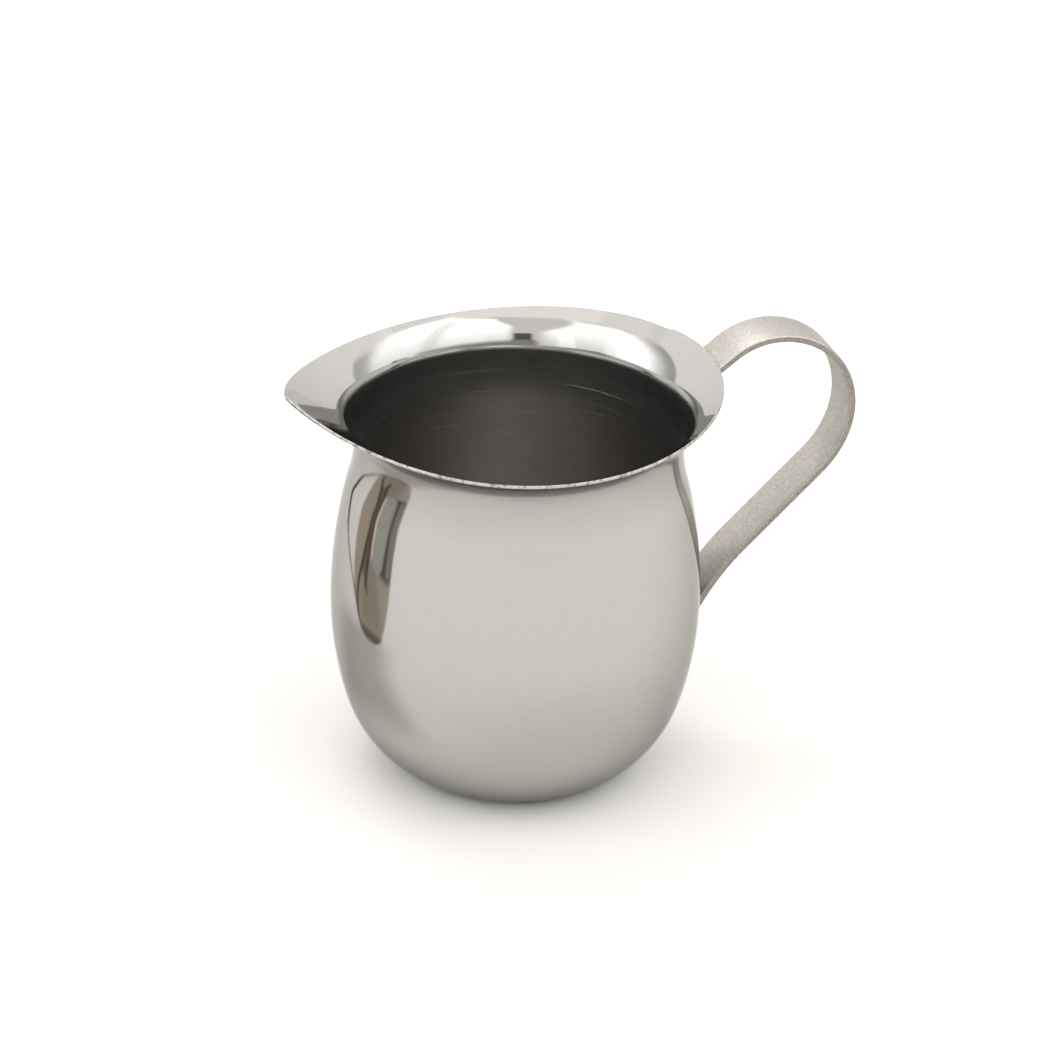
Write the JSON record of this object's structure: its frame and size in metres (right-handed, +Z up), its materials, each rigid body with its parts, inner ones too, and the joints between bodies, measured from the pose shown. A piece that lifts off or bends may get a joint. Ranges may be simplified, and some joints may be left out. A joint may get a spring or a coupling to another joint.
{
  "type": "pitcher",
  "caption": "Small bell-shaped stainless steel milk pitcher with a flared rim, a pouring beak and a bent strap handle.",
  "frame": {"origin": "centre of the flat base, on the body's axis, in the plane that the pitcher stands on", "axes": "+Z up along the body's axis, +X toward the handle, -X toward the pouring beak, +Y to the side"},
  "size_m": [0.1008, 0.0632, 0.0749],
  "materials": {
    "body_steel": "soft polish, fine spin lines inside",
    "strap_steel": "matte, tumbled",
    "weld_steel": "dull, slightly heat-tinted"
  },
  "bodies": {
    "root": {"body_shell": "body_steel", "handle_strap": "strap_steel", "upper_spot_welds": "weld_steel", "lower_spot_welds": "weld_steel"}
  },
  "joints": []
}
